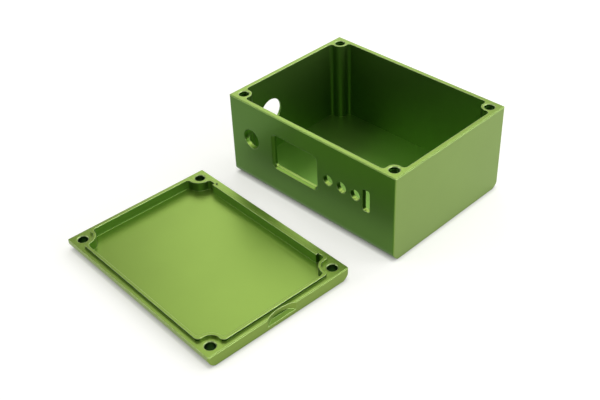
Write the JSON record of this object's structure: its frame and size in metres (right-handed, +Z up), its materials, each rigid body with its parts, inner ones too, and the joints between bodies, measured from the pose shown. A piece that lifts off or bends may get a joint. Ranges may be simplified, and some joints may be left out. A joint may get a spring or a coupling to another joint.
{
  "type": "machined metal housing",
  "caption": "Two-piece machined aluminium enclosure: an open tub with corner screw bosses and a row of front openings, and a shallow lid with a locating lip.",
  "frame": {"origin": "middle of the tub's base, on the surface it stands on", "axes": "+Z up through the tub's open rim, +X along the long side towards the plain end, -Y out of the front wall with the row of openings"},
  "size_m": [0.0886, 0.1351, 0.035],
  "materials": {
    "anodised": "green anodised, fine satin blast"
  },
  "bodies": {
    "root": {"tub": "anodised", "lid": "anodised"}
  },
  "joints": []
}
